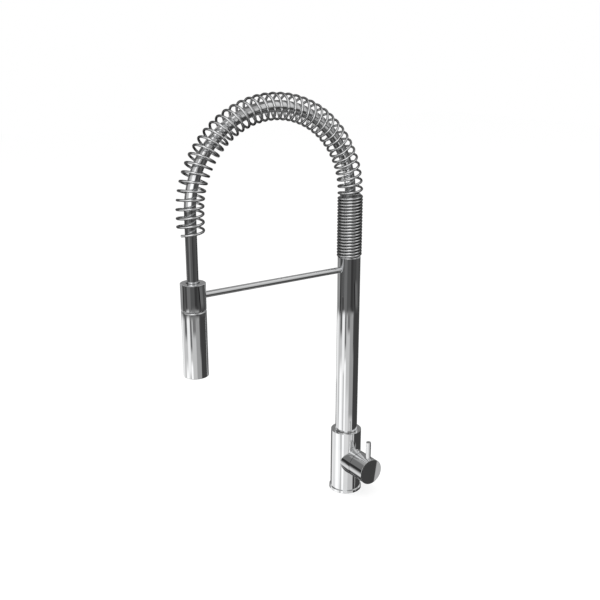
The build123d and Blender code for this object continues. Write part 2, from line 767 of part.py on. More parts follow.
with BuildPart() as spray_face:
    tube_z(
        block_r - nozzle_wall - thread_fit,
        aerator_r + face_gap,
        face_low,
        face_low + face_thickness,
        spray_at,
    )
    with BuildSketch(Plane.XY.offset(nozzle_low - jet_proud)):
        with Locations(spray_at):
            with PolarLocations(jet_circle, jet_count):
                Circle(jet_r)
    extrude(amount=face_low + face_thickness / 2 - nozzle_low + jet_proud)
    with BuildSketch(Plane.XY.offset(nozzle_low - jet_proud)):
        with Locations(spray_at):
            with PolarLocations(jet_circle, jet_count):
                Circle(jet_bore_r)
    extrude(amount=nozzle_floor + face_thickness + jet_proud, mode=Mode.SUBTRACT)

aerator_low = nozzle_low + aerator_sink
mesh_low = aerator_low + aerator_cup

with BuildPart() as aerator:
    round_z(aerator_r, aerator_low, nozzle_low + aerator_length, spray_at)
    round_z(aerator_r - aerator_lip, aerator_low, mesh_low, spray_at, Mode.SUBTRACT)
    with BuildSketch(Plane.XY.offset(mesh_low)):
        with Locations(spray_at):
            with GridLocations(mesh_pitch, mesh_pitch, 5, 5):
                Rectangle(mesh_hole, mesh_hole)
    extrude(amount=aerator_length - aerator_sink - aerator_cup, mode=Mode.SUBTRACT)

# Spring: one wire, wound close round the column head and open along the arch to its free end
dense_top_z = seat_z + dense_height
dense_low_z = seat_z + loose_fit + wire_r
loose_length = spring_drop + pi * arch_r + arch_z - dense_top_z
dense_pitch = (dense_top_z - dense_low_z) / dense_turns
loose_pitch = loose_length / loose_turns


def wire_point(turns):
    """Centre of the wire after that many turns, counted from the free end over the spray head."""
    along = turns * loose_pitch
    if turns > loose_turns:
        along = loose_length + (turns - loose_turns) * dense_pitch
    arc = min(max(along - spring_drop, 0), pi * arch_r) / arch_r
    outward = Vector(0, -cos(arc), sin(arc))
    centre = Vector(0, -arch_r, arch_z) + outward * arch_r
    centre = centre + Vector(0, 0, min(along - spring_drop, 0))
    centre = centre - Vector(0, 0, max(along - spring_drop - pi * arch_r, 0))
    swing = radians(start_angle) + 2 * pi * turns
    return centre + (outward * cos(swing) + Vector(1, 0, 0) * sin(swing)) * coil_r


def wire_direction(turns):
    """Direction of the wire there, taken across the change of pitch."""
    return (wire_point(turns + 0.02) - wire_point(turns - 0.02)).normalized()


def biarc(start, start_direction, end, end_direction):
    """Two tangent arcs from start to end, with the given directions at both."""
    chord = end - start
    sum_of_both = start_direction + end_direction
    a = 2 * (1 - start_direction.dot(end_direction))
    b = 2 * chord.dot(sum_of_both)
    c = -chord.dot(chord)
    step = (-b + sqrt(b * b - 4 * a * c)) / (2 * a) if a > 1e-9 else -c / b
    joint = (start + start_direction * step + end - end_direction * step) / 2
    middle = (end - end_direction * step - start - start_direction * step).normalized()
    TangentArc(start, joint, tangent=start_direction)
    TangentArc(joint, end, tangent=middle)


wire_turns = loose_turns + dense_turns
half_turns = round(2 * wire_turns)
knots = [wire_turns * index / half_turns for index in range(half_turns + 1)]
knots[2 * loose_turns] = loose_turns
wire_start = wire_point(0) - wire_direction(0) * wire_d
wire_end = wire_point(wire_turns) + wire_direction(wire_turns) * wire_d

with BuildPart() as spring:
    with BuildLine():
        Line(wire_start, wire_point(0))
        for first, second in zip(knots, knots[1:]):
            biarc(wire_point(first), wire_direction(first), wire_point(second), wire_direction(second))
        Line(wire_point(wire_turns), wire_end)
    with BuildSketch(Plane(origin=wire_start, z_dir=wire_direction(0))):
        Circle(wire_r)
    sweep()

samples = [wire_point(wire_turns * index / 4000) for index in range(4001)]
apart = int(0.6 * 4000 / wire_turns)
gap = min(
    (samples[index] - samples[other]).length
    for index in range(len(samples))
    for other in range(index + apart, min(index + 3 * apart, len(samples)))
)
print("least gap of the spring to itself:", round(gap - wire_d, 2), "mm")
print("pitch of the open turns:", round(loose_pitch, 2), "mm")
print("pitch of the close turns:", round(dense_pitch, 2), "mm")
print("sliding disc per radian of lift:", round(disc_travel / lift, 4), "mm")
print("overall height:", round(arch_z + arch_r + coil_r + wire_r, 1), "mm")

pieces = {
    "deck_seal": deck_seal,
    "base_ring": base_ring,
    "base_insert": base_insert,
    "insert_o_ring": insert_o_ring,
    "body_shell": body_shell,
    "cartridge_housing": cartridge_housing,
    "cartridge_port_seals": cartridge_port_seals,
    "ceramic_disc_fixed": ceramic_disc_fixed,
    "ceramic_disc_sliding": ceramic_disc_sliding,
    "disc_carrier": disc_carrier,
    "cartridge_driver": cartridge_driver,
    "pivot_pin": pivot_pin,
    "cartridge_cover": cartridge_cover,
    "cartridge_nut": cartridge_nut,
    "dome_ring": dome_ring,
    "cartridge_stem": cartridge_stem,
    "handle_cap": handle_cap,
    "lever_pin": lever_pin,
    "handle_set_screw": handle_set_screw,
    "swivel_slide_ring": swivel_slide_ring,
    "column_foot": column_foot,
    "swivel_o_rings": swivel_o_rings,
    "spout_stop_screw": spout_stop_screw,
    "column_tube": column_tube,
    "column_head": column_head,
    "support_arm": support_arm,
    "docking_collar": docking_collar,
    "collar_bush": collar_bush,
    "collar_liner": collar_liner,
    "dock_magnet": dock_magnet,
    "hose": hose,
    "hose_washer": hose_washer,
    "hose_nipple_upper": hose_nipple_upper,
    "hose_ferrule_upper": hose_ferrule_upper,
    "hose_nipple_lower": hose_nipple_lower,
    "hose_ferrule_lower": hose_ferrule_lower,
    "nipple_o_ring": nipple_o_ring,
    "spray_neck": spray_neck,
    "neck_clip": neck_clip,
    "dock_plate": dock_plate,
    "spray_shell": spray_shell,
    "spray_core": spray_core,
    "check_valve": check_valve,
    "spray_nozzle": spray_nozzle,
    "spray_face": spray_face,
    "aerator": aerator,
    "spring": spring,
}

for label, builder in pieces.items():
    builder.part.label = label
    export_step(builder.part, f"parts/{label}.step")
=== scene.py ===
"""Looks for a single-lever kitchen mixer with a spring spout and a pull-down spray.

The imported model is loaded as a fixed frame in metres. The round outer pieces are turned, spun or wound
afresh at a finer grain, the hidden ones keep their frame meshes, and every piece gets a finish of its own.
"""

import logging
from dataclasses import dataclass
from enum import Enum
from math import cos, pi, radians, sin
from typing import Iterable, Optional, Protocol, Sequence, Union

import bmesh
import bpy
from mathutils import Matrix, Vector


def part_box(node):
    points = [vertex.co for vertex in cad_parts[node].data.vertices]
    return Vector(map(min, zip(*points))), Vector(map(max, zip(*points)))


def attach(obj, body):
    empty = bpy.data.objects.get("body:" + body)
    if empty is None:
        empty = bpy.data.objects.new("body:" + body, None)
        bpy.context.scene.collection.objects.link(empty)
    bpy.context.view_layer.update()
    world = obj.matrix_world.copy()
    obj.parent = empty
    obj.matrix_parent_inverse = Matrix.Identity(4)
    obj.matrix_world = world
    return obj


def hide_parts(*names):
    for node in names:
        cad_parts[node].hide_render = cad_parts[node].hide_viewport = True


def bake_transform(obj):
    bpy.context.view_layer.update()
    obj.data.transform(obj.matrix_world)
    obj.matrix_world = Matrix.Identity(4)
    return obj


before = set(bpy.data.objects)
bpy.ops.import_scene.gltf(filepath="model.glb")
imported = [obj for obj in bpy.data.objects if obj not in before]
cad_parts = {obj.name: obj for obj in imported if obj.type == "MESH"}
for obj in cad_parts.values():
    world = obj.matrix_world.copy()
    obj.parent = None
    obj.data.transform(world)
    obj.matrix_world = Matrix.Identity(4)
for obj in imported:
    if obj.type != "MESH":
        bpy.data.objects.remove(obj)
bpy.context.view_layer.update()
MM = 0.001
SAME_POINT = 0.002 * MM
WIDE_STEPS = 160
RING_STEPS = 96
ROD_STEPS = 64

log = logging.getLogger("mixer")

Colour = tuple[float, float, float]
Value = Union[float, int, str, bool, Colour, bpy.types.NodeSocket]
Sockets = bpy.types.bpy_prop_collection
Inputs = dict[Union[str, int], Value]
Faces = list[bmesh.types.BMFace]
Place = tuple[float, float, float]


# -------- node graphs


class Graph:
    """A node tree while it is being wired."""

    def __init__(self, tree: bpy.types.NodeTree) -> None:
        """Starts from an empty tree.

        Args:
            tree: the tree to fill; whatever it holds is cleared.
        """
        self.tree = tree
        tree.nodes.clear()

    def add(self, kind: str, inputs: Optional[Inputs] = None, **settings: Value) -> bpy.types.Node:
        """Adds one node.

        Args:
            kind: the node's type name.
            inputs: values or sockets for its inputs, by name or by number.
            settings: the node's own settings.

        Returns:
            The node, with its inputs set or linked.
        """
        node = self.tree.nodes.new(kind)
        for name, value in settings.items():
            setattr(node, name, value)
        for key, value in (inputs or {}).items():
            if isinstance(value, bpy.types.NodeSocket):
                self.tree.links.new(value, node.inputs[key])
            else:
                node.inputs[key].default_value = value
        return node

    def math(self, operation: str, *values: Value) -> bpy.types.NodeSocket:
        """Adds a Math node.

        Args:
            operation: its operation.
            values: its operands, in order.

        Returns:
            The socket of the result.
        """
        return self.add("ShaderNodeMath", dict(enumerate(values)), operation=operation).outputs[0]

    def remap(
        self, value: Value, low: Value, high: Value, to_low: Value, to_high: Value
    ) -> bpy.types.NodeSocket:
        """Maps a range smoothly onto another and holds it at the ends.

        Args:
            value: what is mapped.
            low: the start of the range.
            high: the end of the range.
            to_low: the result at the start.
            to_high: the result at the end.

        Returns:
            The socket of the result.
        """
        inputs = {"Value": value, "From Min": low, "From Max": high, "To Min": to_low, "To Max": to_high}
        return self.add("ShaderNodeMapRange", inputs, interpolation_type="SMOOTHSTEP").outputs[0]

    def mix(self, share: Value, first: Value, second: Value, blend: str = "MIX") -> bpy.types.NodeSocket:
        """Mixes two colours.

        Args:
            share: how much of the second there is.
            first: the first colour.
            second: the second colour.
            blend: the way that they are mixed.

        Returns:
            The socket of the mixed colour.
        """
        inputs = {0: share, 6: first, 7: second}
        return self.add("ShaderNodeMix", inputs, data_type="RGBA", blend_type=blend).outputs[2]

    def noise(
        self, vector: Value, scale: Value, detail: float, roughness: float = 0.5
    ) -> bpy.types.NodeSocket:
        """Adds a noise.

        Args:
            vector: where it is read.
            scale: its scale.
            detail: how many finer layers it has.
            roughness: how strong the finer layers are.

        Returns:
            The socket of its value.
        """
        inputs = {"Vector": vector, "Scale": scale, "Detail": detail, "Roughness": roughness}
        return self.add("ShaderNodeTexNoise", inputs).outputs[0]

    def bump(self, height: Value, depth: Value, strength: float) -> bpy.types.NodeSocket:
        """Gives the normal of a surface raised by a height.

        Args:
            height: the height, from 0 to 1.
            depth: what a height of 1 is in metres.
            strength: how much of the bump shows.

        Returns:
            The socket of the normal.
        """
        inputs = {"Height": height, "Distance": depth, "Strength": strength}
        return self.add("ShaderNodeBump", inputs).outputs[0]

    def shader(self, first: bpy.types.Node, second: bpy.types.Node, share: Value) -> bpy.types.Node:
        """Mixes two shaders.

        Args:
            first: the node of the first shader.
            second: the node of the second shader.
            share: how much of the second there is.

        Returns:
            The node of the mixed shader.
        """
        return self.add("ShaderNodeMixShader", {0: share, 1: first.outputs[0], 2: second.outputs[0]})


class EffectGroup:
    """A shader node group that several finishes share, made the first time that it is asked for."""

    name = "effect"
    inputs: Sequence[tuple[str, str, Value]] = ()
    outputs: Sequence[tuple[str, str]] = ()

    def tree(self) -> bpy.types.NodeTree:
        """Gives the group's tree.

        Returns:
            The tree, newly wired if there was none.
        """
        found = bpy.data.node_groups.get(self.name)
        if found:
            return found
        tree = bpy.data.node_groups.new(self.name, "ShaderNodeTree")
        for label, kind, default in self.inputs:
            tree.interface.new_socket(label, in_out="INPUT", socket_type=kind).default_value = default
        for label, kind in self.outputs:
            tree.interface.new_socket(label, in_out="OUTPUT", socket_type=kind)
        graph = Graph(tree)
        start = graph.add("NodeGroupInput")
        results = self.wire(graph, start.outputs)
        graph.add("NodeGroupOutput", results)
        return tree

    def wire(self, graph: Graph, given: Sockets) -> dict[str, Value]:
        """Wires the effect.

        Args:
            graph: the group's graph.
            given: the group's inputs, by name.

        Returns:
            A socket for each output, by name.
        """
        raise NotImplementedError

    def place(self, graph: Graph, **values: Value) -> Sockets:
        """Places the group in a material or world.

        Args:
            graph: the graph to place it in.
            values: the inputs, with _ for a space in a name.

        Returns:
            The placed group's outputs.
        """
        inputs = {key.replace("_", " "): value for key, value in values.items()}
        return graph.add("ShaderNodeGroup", inputs, node_tree=self.tree()).outputs


class WipeMarks(EffectGroup):
    """Faint cloudy marks and fine hairlines left by water and by wiping a polished surface."""

    name = "wipe_marks"
    inputs = (
        ("Vector", "NodeSocketVector", (0.0, 0.0, 0.0)),
        ("Cloud Scale", "NodeSocketFloat", 40.0),
        ("Clean", "NodeSocketFloat", 0.02),
        ("Marked", "NodeSocketFloat", 0.07),
    )
    outputs = (("Roughness", "NodeSocketFloat"), ("Mask", "NodeSocketFloat"))
    cloud_roughness = 0.62
    cloud_edges = (0.45, 0.8)
    stretch = (9.0, 9.0, 0.6)
    line_scale = 4.0
    line_edges = (0.58, 0.74)
    line_weight = 0.35

    def wire(self, graph: Graph, given: Sockets) -> dict[str, Value]:
        """Wires clouds and hairlines into one roughness.

        Args:
            graph: the group's graph.
            given: the group's inputs, by name.

        Returns:
            The roughness and the marks' mask.
        """
        clouds = graph.noise(given["Vector"], given["Cloud Scale"], 5.0, self.cloud_roughness)
        stretched = graph.add("ShaderNodeMapping", {"Vector": given["Vector"], "Scale": self.stretch})
        scale = graph.math("MULTIPLY", given["Cloud Scale"], self.line_scale)
        lines = graph.noise(stretched.outputs[0], scale, 3.0)
        fine = graph.remap(lines, *self.line_edges, 0.0, self.line_weight)
        mask = graph.math("ADD", graph.remap(clouds, *self.cloud_edges, 0.0, 1.0), fine)
        spread = graph.math("SUBTRACT", given["Marked"], given["Clean"])
        rough = graph.math("MULTIPLY_ADD", mask, spread, given["Clean"])
        return {"Roughness": rough, "Mask": mask}


class TurningLines(EffectGroup):
    """Fine ridges that a lathe tool leaves round a machined piece."""

    name = "turning_lines"
    inputs = (
        ("Vector", "NodeSocketVector", (0.0, 0.0, 0.0)),
        ("Lines", "NodeSocketFloat", 900.0),
        ("Depth", "NodeSocketFloat", 0.00001),
    )
    outputs = (("Normal", "NodeSocketVector"), ("Mask", "NodeSocketFloat"))
    unevenness = {"Distortion": 1.2, "Detail": 2.0, "Detail Scale": 3.0}
    strength = 0.6

    def wire(self, graph: Graph, given: Sockets) -> dict[str, Value]:
        """Wires uneven bands across the turning axis into a bump.

        Args:
            graph: the group's graph.
            given: the group's inputs, by name.

        Returns:
            The bumped normal and the lines' mask.
        """
        bands = graph.add(
            "ShaderNodeTexWave",
            {"Vector": given["Vector"], "Scale": given["Lines"], **self.unevenness},
            wave_type="BANDS",
            bands_direction="DIAGONAL",
        ).outputs["Fac"]
        return {"Normal": graph.bump(bands, given["Depth"], self.strength), "Mask": bands}


class MouldedGrain(EffectGroup):
    """The fine even grain of a moulded or sintered surface, with a little unevenness of colour."""

    name = "moulded_grain"
    inputs = (
        ("Vector", "NodeSocketVector", (0.0, 0.0, 0.0)),
        ("Grain Scale", "NodeSocketFloat", 2500.0),
        ("Depth", "NodeSocketFloat", 0.00002),
        ("Light", "NodeSocketColor", (0.5, 0.5, 0.5, 1.0)),
        ("Dark", "NodeSocketColor", (0.4, 0.4, 0.4, 1.0)),
    )
    outputs = (("Normal", "NodeSocketVector"), ("Color", "NodeSocketColor"), ("Mask", "NodeSocketFloat"))
    patch_scale = 90.0
    patch_edges = (0.35, 0.68)
    strength = 0.7

    def wire(self, graph: Graph, given: Sockets) -> dict[str, Value]:
        """Wires a fine noise for the bump and a broad one for the colour.

        Args:
            graph: the group's graph.
            given: the group's inputs, by name.

        Returns:
            The bumped normal, the colour and the patches' mask.
        """
        grain = graph.noise(given["Vector"], given["Grain Scale"], 4.0)
        patches = graph.noise(given["Vector"], self.patch_scale, 3.0)
        mask = graph.remap(patches, *self.patch_edges, 0.0, 1.0)
        colour = graph.mix(mask, given["Dark"], given["Light"])
        return {"Normal": graph.bump(grain, given["Depth"], self.strength), "Color": colour, "Mask": mask}


WIPE_MARKS = WipeMarks()
TURNING_LINES = TurningLines()
MOULDED_GRAIN = MouldedGrain()


# -------- finishes


class Finish(Protocol):
    """Anything that can make a material."""

    slot: str

    def wire(self, graph: Graph, vector: bpy.types.NodeSocket) -> bpy.types.Node:
        """Wires the finish.

        Args:
            graph: the material's graph.
            vector: where its patterns are read.

        Returns:
            The node of its shader.
        """


def material_of(name: str, finish: Finish) -> bpy.types.Material:
    """Makes the material of a finish, or gives the one already made.

    Args:
        name: the material's name.
        finish: the finish.

    Returns:
        The material, on Object coordinates.
    """
    found = bpy.data.materials.get(name)
    if found:
        return found
    material = bpy.data.materials.new(name)
    material.use_nodes = True
    graph = Graph(material.node_tree)
    vector = graph.add("ShaderNodeTexCoord").outputs["Object"]
    shader = finish.wire(graph, vector)
    graph.add("ShaderNodeOutputMaterial", {"Surface": shader.outputs[0]})
    return material


def rgba(colour: Colour) -> tuple[float, float, float, float]:
    """Gives a colour with full alpha."""
    return (*colour, 1.0)


@dataclass(frozen=True)
class PolishedMetal:
    """A bright plated or polished metal that mirrors the room, with faint wipe marks.

    rim is how much of the colour is left where the surface turns away from the eye, a painted shade that
    darkens the edges as if they mirrored a dark room, and turning is where it starts and where it ends to
    get less.
    """

    slot: str
    bright: Colour
    hazed: Colour
    clean: float
    marked: float
    cloud_scale: float = 40.0
    rim: float = 1.0
    turning: tuple[float, float] = (0.14, 0.62)

    def wire(self, graph: Graph, vector: bpy.types.NodeSocket) -> bpy.types.Node:
        """Wires the metal.

        Args:
            graph: the material's graph.
            vector: where its patterns are read.

        Returns:
            The node of its shader.
        """
        marks = WIPE_MARKS.place(
            graph, Vector=vector, Cloud_Scale=self.cloud_scale, Clean=self.clean, Marked=self.marked
        )
        colour = graph.mix(marks["Mask"], rgba(self.bright), rgba(self.hazed))
        # painted shade: the colour is darkened towards the edges that turn away from the eye, down to rim
        if self.rim < 1.0:
            facing = graph.add("ShaderNodeLayerWeight", {"Blend": 0.5}).outputs["Facing"]
            left = graph.remap(facing, *self.turning, 1.0, self.rim)
            colour = graph.mix(1.0, colour, left, "MULTIPLY")
        return graph.add(
            "ShaderNodeBsdfPrincipled",
            {"Base Color": colour, "Metallic": 1.0, "Roughness": marks["Roughness"]},
        )


@dataclass(frozen=True)
class MachinedMetal:
    """A bare turned metal: satin, with the tool's fine lines and a slightly stained colour."""

    slot: str
    bright: Colour
    stained: Colour
    smooth: float
    rough: float
    lines: float = 700.0
    depth: float = 0.00002
    cloud_scale: float = 120.0

    def wire(self, graph: Graph, vector: bpy.types.NodeSocket) -> bpy.types.Node:
        """Wires the metal.

        Args:
            graph: the material's graph.
            vector: where its patterns are read.

        Returns:
            The node of its shader.
        """
        marks = WIPE_MARKS.place(
            graph, Vector=vector, Cloud_Scale=self.cloud_scale, Clean=self.smooth, Marked=self.rough
        )
        lines = TURNING_LINES.place(graph, Vector=vector, Lines=self.lines, Depth=self.depth)
        colour = graph.mix(marks["Mask"], rgba(self.bright), rgba(self.stained))
        return graph.add(
            "ShaderNodeBsdfPrincipled",
            {
                "Base Color": colour,
                "Metallic": 1.0,
                "Roughness": marks["Roughness"],
                "Normal": lines["Normal"],
            },
        )


@dataclass(frozen=True)
class Moulded:
    """A moulded plastic, rubber or ceramic with its own grain."""

    slot: str
    light: Colour
    dark: Colour
    smooth: float
    rough: float
    grain_scale: float = 2500.0
    depth: float = 0.00002

    def wire(self, graph: Graph, vector: bpy.types.NodeSocket) -> bpy.types.Node:
        """Wires the moulding.

        Args:
            graph: the material's graph.
            vector: where its patterns are read.

        Returns:
            The node of its shader.
        """
        grain = MOULDED_GRAIN.place(
            graph,
            Vector=vector,
            Grain_Scale=self.grain_scale,
            Depth=self.depth,
            Light=rgba(self.light),
            Dark=rgba(self.dark),
        )
        rough = graph.remap(grain["Mask"], 0.0, 1.0, self.smooth, self.rough)
        return graph.add(
            "ShaderNodeBsdfPrincipled",
            {"Base Color": grain["Color"], "Roughness": rough, "Normal": grain["Normal"]},
        )


class Look(Enum):
    """The finishes of the mixer, each with the record's slot that it belongs to."""

    CHROME = PolishedMetal("chrome", (0.86, 0.865, 0.87), (0.82, 0.83, 0.84), 0.008, 0.035)
    # painted shade: a dark copy of the chrome, also darkened at its edges, for the mouth in the cap's shade
    # and the cover behind the seam
    SHADE_PAINTED_CHROME = PolishedMetal(
        "chrome", (0.15, 0.15, 0.155), (0.11, 0.11, 0.115), 0.12, 0.20, cloud_scale=60.0, rim=0.30
    )
    # painted shade: the spring wire's edges are darkened almost to black
    SPRING_CHROME = PolishedMetal(
        "spring_chrome", (0.98, 0.985, 0.99), (0.94, 0.95, 0.96), 0.01, 0.03, cloud_scale=90.0, rim=0.05
    )
    # painted shade: the hose's edges are darkened to less than half their colour
    HOSE = PolishedMetal(
        "hose_grey", (0.96, 0.965, 0.97), (0.88, 0.89, 0.90), 0.02, 0.05, cloud_scale=60.0, rim=0.45
    )
    BRASS = MachinedMetal("brass", (0.80, 0.62, 0.33), (0.60, 0.43, 0.20), 0.22, 0.38)
    STEEL = MachinedMetal("steel", (0.62, 0.62, 0.61), (0.50, 0.50, 0.50), 0.24, 0.36, lines=1100.0)
    MAGNET = MachinedMetal("magnet", (0.55, 0.54, 0.52), (0.40, 0.39, 0.38), 0.30, 0.45, lines=500.0)
    RUBBER = Moulded(
        "rubber", (0.045, 0.045, 0.047), (0.025, 0.025, 0.026), 0.55, 0.72,
        grain_scale=1800.0, depth=0.00004,
    )
    CARTRIDGE = Moulded("cartridge_plastic", (0.72, 0.72, 0.70), (0.64, 0.64, 0.61), 0.32, 0.42)
    NYLON = Moulded("nylon", (0.70, 0.69, 0.66), (0.60, 0.59, 0.56), 0.38, 0.48)
    BLACK = Moulded("black_plastic", (0.040, 0.040, 0.042), (0.026, 0.026, 0.028), 0.34, 0.46)
    CERAMIC = Moulded(
        "ceramic", (0.86, 0.85, 0.80), (0.80, 0.79, 0.73), 0.10, 0.18,
        grain_scale=4000.0, depth=0.000005,
    )

    def material(self) -> bpy.types.Material:
        """Gives the material of this look."""
        return material_of(f"finish_{self.name.lower()}", self.value)


# -------- shapes


class Along(Enum):
    """The way a turned piece's axis points."""

    UP = Matrix.Identity(4)
    RIGHT = Matrix.Rotation(pi / 2, 4, "Y")
    BACK = Matrix.Rotation(-pi / 2, 4, "X")


@dataclass(frozen=True)
class Corner:
    """A corner of a turned profile, with the size of its rounding."""

    radius: float
    height: float
    ease: float = 0.0


def link(name: str, data: bpy.types.ID) -> bpy.types.Object:
    """Makes an object and puts it in the scene.

    Args:
        name: its name.
        data: its mesh, curve, lamp or camera.

    Returns:
        The object.
    """
    made = bpy.data.objects.new(name, data)
    bpy.context.scene.collection.objects.link(made)
    return made


def as_mesh(name: str, mesh: bmesh.types.BMesh) -> bpy.types.Mesh:
    """Gives the finished mesh of a bmesh.

    Args:
        name: the mesh's name.
        mesh: the bmesh, which is freed.

    Returns:
        The mesh.
    """
    data = bpy.data.meshes.new(name)
    mesh.to_mesh(data)
    mesh.free()
    return data


def as_object(
    name: str, mesh: bmesh.types.BMesh, sharp: float = 35.0, outward: bool = True
) -> bpy.types.Object:
    """Turns a bmesh into a finished object at the origin.

    Args:
        name: the piece's name.
        mesh: the bmesh, which is freed.
        sharp: edges over this angle in degrees stay sharp.
        outward: whether the faces still have to be turned outward.

    Returns:
        The object, smooth between its sharp edges.
    """
    bmesh.ops.remove_doubles(mesh, verts=mesh.verts, dist=SAME_POINT)
    if outward:
        bmesh.ops.recalc_face_normals(mesh, faces=mesh.faces)
    data = as_mesh(name, mesh)
    data.shade_smooth()
    data.set_sharp_from_angle(angle=radians(sharp))
    piece = link(name, data)
    weighted = piece.modifiers.new("even_shading", "WEIGHTED_NORMAL")
    weighted.keep_sharp = True
    return piece


def turn(
    name: str,
    corners: Iterable[Corner],
    at: Vector,
    along: Along = Along.UP,
    steps: int = 128,
    rounds: int = 3,
) -> bpy.types.Object:
    """Turns a closed profile round an axis, as on a lathe.

    Args:
        name: the piece's name.
        corners: the profile's corners in order; corners at radius 0 close it on the axis.
        at: the point that height 0 of the profile comes to.
        along: the direction of the axis.
        steps: divisions round the axis.
        rounds: segments in each eased corner.

    Returns:
        The piece.
    """
    mesh = bmesh.new()
    corners = list(corners)
    points = [mesh.verts.new((corner.radius, 0.0, corner.height)) for corner in corners]
    for first, second in zip(points, points[1:] + points[:1]):
        on_axis = max(first.co.x, second.co.x) < SAME_POINT
        if not on_axis:
            mesh.edges.new((first, second))
    for point, corner in zip(points, corners):
        if corner.ease:
            bmesh.ops.bevel(
                mesh,
                geom=[point],
                offset=corner.ease,
                affect="VERTICES",
                segments=rounds,
                profile=0.5,
                material=-1,
            )
    bmesh.ops.spin(
        mesh,
        geom=list(mesh.verts) + list(mesh.edges),
        cent=(0.0, 0.0, 0.0),
        axis=(0.0, 0.0, 1.0),
        angle=2 * pi,
        steps=steps,
        use_merge=True,
    )
    bmesh.ops.transform(mesh, matrix=Matrix.Translation(at) @ along.value, verts=mesh.verts)
    return as_object(name, mesh)


def ring(
    outer: float, inner: float, low: float, high: float, top: float = 0.0, foot: float = 0.0
) -> list[Corner]:
    """Gives the profile of a plain ring or tube.

    Args:
        outer: its outer radius.
        inner: its bore radius.
        low: its lower height.
        high: its upper height.
        top: the rounding of the outer upper edge.
        foot: the rounding of the outer lower edge.

    Returns:
        The corners.
    """
    return [Corner(inner, low), Corner(outer, low, foot), Corner(outer, high, top), Corner(inner, high)]


def bar(radius: float, low: float, high: float, top: float = 0.0, foot: float = 0.0) -> list[Corner]:
    """Gives the profile of a solid round bar.

    Args:
        radius: its radius.
        low: its lower height.
        high: its upper height.
        top: the rounding of the upper edge.
        foot: the rounding of the lower edge.

    Returns:
        The corners.
    """
    return [Corner(0.0, low), Corner(radius, low, foot), Corner(radius, high, top), Corner(0.0, high)]


def smoothed(name: str, node: str, sharp: float = 30.0) -> bpy.types.Object:
    """Copies a frame node's mesh with its triangles joined and its round faces shaded smooth.

    Args:
        name: the piece's name.
        node: the node to copy.
        sharp: edges over this angle in degrees stay sharp.

    Returns:
        The piece.
    """
    mesh = bmesh.new()
    mesh.from_mesh(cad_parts[node].data)
    return as_object(name, mesh, sharp, outward=False)


def finish_piece(piece: bpy.types.Object, look: Look, body: Optional[str], *nodes: str) -> bpy.types.Object:
    """Dresses a new piece and ties it to the frame.

    Args:
        piece: the piece.
        look: its finish.
        body: the body that it rides on, or None for a piece that is tied to no body.
        nodes: the frame nodes that it stands for.

    Returns:
        The piece.
    """
    piece.data.materials.clear()
    piece.data.materials.append(look.material())
    if body:
        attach(piece, body)
    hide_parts(*nodes)
    log.info("%s: %d faces, %s", piece.name, len(piece.data.polygons), look.name.lower())
    return piece


def dress(look: Look, *nodes: str) -> None:
    """Gives frame nodes that stay a finish.

    Args:
        look: the finish.
        nodes: the nodes.
    """
    for node in nodes:
        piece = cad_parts[node]
        for place in piece.material_slots:
            place.material = look.material()
        if not piece.material_slots:
            piece.data.materials.append(look.material())
        log.info("%s: kept, %s", node, look.name.lower())


def span(node: str) -> tuple[Vector, Vector, Vector]:
    """Gives a node's lowest corner, highest corner and middle.

    Args:
        node: the frame node.

    Returns:
        The three points.
    """
    low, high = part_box(node)
    return low, high, (low + high) / 2


# -------- sub-assemblies


@dataclass
class Base:
    """The foot on the worktop: trim ring, seal and the insert with the inlets."""

    edge: float = 0.4 * MM
    bore: float = 20.5 * MM
    groove_gap: float = 0.1 * MM
    groove_width: float = 2.6 * MM

    def build(self) -> None:
        """Turns the trim ring and dresses what it covers."""
        low, high, middle = span("base_ring")
        _, seal_high, _ = span("deck_seal")
        outer = seal_high.x + self.groove_gap
        inner = outer - self.groove_width
        profile = [
            Corner(self.bore, low.z),
            Corner(inner, low.z),
            Corner(inner, seal_high.z),
            Corner(outer, seal_high.z),
            Corner(outer, low.z),
            Corner(high.x, low.z, self.edge / 2),
            Corner(high.x, high.z, self.edge),
            Corner(self.bore, high.z),
        ]
        ring_piece = turn("trim_ring", profile, Vector((middle.x, middle.y, 0)), steps=WIDE_STEPS)
        finish_piece(ring_piece, Look.CHROME, "body", "base_ring")
        dress(Look.RUBBER, "deck_seal", "insert_o_ring")
        dress(Look.BRASS, "base_insert")


@dataclass
class Body:
    """The chromed body with its side boss, the cover behind the handle and the cartridge inside.

    The mouth is the ball-shaped end of the boss, ground about the pivot that the handle lifts on.
    """

    pivot: Vector = Vector((17.0, 0.0, 56.0)) * MM
    mouth_radius: float = 28.41 * MM
    tolerance: float = 0.06 * MM

    def shade_mouth(self, body: bpy.types.Object) -> None:
        """Paints shade on the mouth, which lies in the shade of the cap, as a dark chrome.

        Args:
            body: the body's piece.
        """
        body.data.materials.append(Look.SHADE_PAINTED_CHROME.material())
        for face in body.data.polygons:
            reach = [(body.data.vertices[index].co - self.pivot).length for index in face.vertices]
            if all(abs(far - self.mouth_radius) < self.tolerance for far in reach):
                face.material_index = 1

    def build(self) -> None:
        """Smooths the body and the cover and dresses the cartridge."""
        body = finish_piece(smoothed("mixer_body", "body_shell"), Look.CHROME, "body", "body_shell")
        self.shade_mouth(body)
        # painted shade: the cover behind the cap's seam gets the dark chrome so that the deep seam shows as
        # a dark line
        finish_piece(smoothed("mouth_cover", "dome_ring"), Look.SHADE_PAINTED_CHROME, "body", "dome_ring")
        dress(Look.CARTRIDGE, "cartridge_housing", "cartridge_cover")
        dress(Look.RUBBER, "cartridge_port_seals")
        dress(Look.CERAMIC, "ceramic_disc_fixed", "ceramic_disc_sliding")
        dress(Look.BLACK, "disc_carrier", "cartridge_driver")
        dress(Look.STEEL, "pivot_pin", "spout_stop_screw")
        dress(Look.BRASS, "cartridge_nut")


